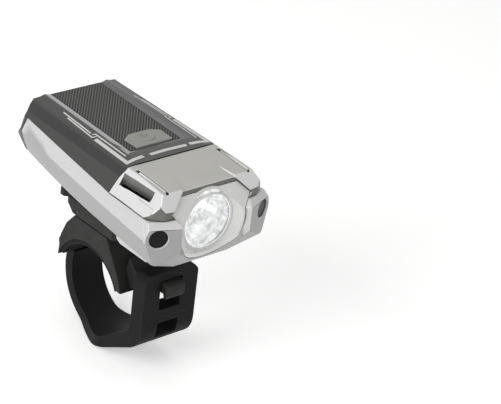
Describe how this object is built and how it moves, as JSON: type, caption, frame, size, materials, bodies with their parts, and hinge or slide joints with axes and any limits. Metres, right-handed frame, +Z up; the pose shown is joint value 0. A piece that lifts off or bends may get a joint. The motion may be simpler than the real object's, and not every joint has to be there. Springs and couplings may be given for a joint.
{
  "type": "bike headlight",
  "caption": "Compact bicycle headlight with a wedge-shaped lamp body, round lens, side windows and deck button, sliding off a swivelling handlebar bracket held by a rubber strap.",
  "frame": {"origin": "on the handlebar's axis, in the middle of the saddle", "axes": "+X along the handlebar, the beam points along -Y, +Z up"},
  "size_m": [0.0508, 0.0872, 0.0795],
  "materials": {
    "shell_silver": "satin",
    "cover_black": "matte",
    "bezel_grey": "satin",
    "panel_weave": "matte",
    "button_grey": "satin",
    "collar_white": "gloss",
    "lens_clear": "clear",
    "gasket_rubber": "matte",
    "led_phosphor": "gloss",
    "board_metal": "satin",
    "sink_aluminium": "satin",
    "window_smoked": "clear",
    "cell_pouch": "satin",
    "board_green": "satin",
    "switch_black": "matte",
    "socket_steel": "satin",
    "screw_steel": "satin",
    "bracket_black": "matte",
    "strap_rubber": "matte",
    "flap_rubber": "matte"
  },
  "bodies": {
    "saddle": {"saddle": "bracket_black", "bar_pad": "strap_rubber", "strap": "strap_rubber", "strap_pin": "screw_steel"},
    "cradle": {"cradle": "bracket_black", "lever_pin": "screw_steel", "swivel_screw": "screw_steel", "swivel_washer": "screw_steel"},
    "lamp": {"top_cover": "cover_black", "deck_panel": "panel_weave", "front_bezel": "bezel_grey", "lower_shell": "shell_silver", "lens_collar": "collar_white", "lens": "lens_clear", "lens_gasket": "gasket_rubber", "led": "led_phosphor", "led_board": "board_metal", "heat_sink": "sink_aluminium", "side_windows": "window_smoked", "side_leds": "led_phosphor", "battery_pouch": "cell_pouch", "control_board": "board_green", "tact_switch": "switch_black", "usb_socket": "socket_steel", "case_screws": "screw_steel", "slide_rail": "bracket_black", "rail_screws": "screw_steel"},
    "release_lever": {"release_lever": "bracket_black"},
    "power_button": {"power_button": "button_grey"},
    "usb_cover": {"usb_cover": "flap_rubber"},
    "strap_tail": {"strap_tail": "strap_rubber"}
  },
  "joints": [
    {"name": "swivel", "type": "hinge", "parent": "saddle", "child": "cradle", "pos_m": [0, 0, 0.024], "axis": [0, 0, 1], "range_deg": [-20, 20]},
    {"name": "light_slide", "type": "slide", "parent": "cradle", "child": "lamp", "axis": [0, -1, 0], "range_m": [0, 0.036]},
    {"name": "lever_lift", "type": "hinge", "parent": "cradle", "child": "release_lever", "pos_m": [0, 0.0082, 0.0255], "axis": [1, 0, 0], "range_deg": [0, 8]},
    {"name": "button_press", "type": "slide", "parent": "lamp", "child": "power_button", "axis": [0, 0, -1], "range_m": [0, 0.0006], "stiffness_N_per_m": 800},
    {"name": "usb_flap", "type": "hinge", "parent": "lamp", "child": "usb_cover", "pos_m": [0, 0.03901, 0.0467], "axis": [-1, 0, 0], "range_deg": [0, 100]},
    {"name": "strap_peel", "type": "hinge", "parent": "saddle", "child": "strap_tail", "pos_m": [0, -0.0283, 0.00171], "axis": [1, 0, 0], "range_deg": [0, 60]}
  ]
}
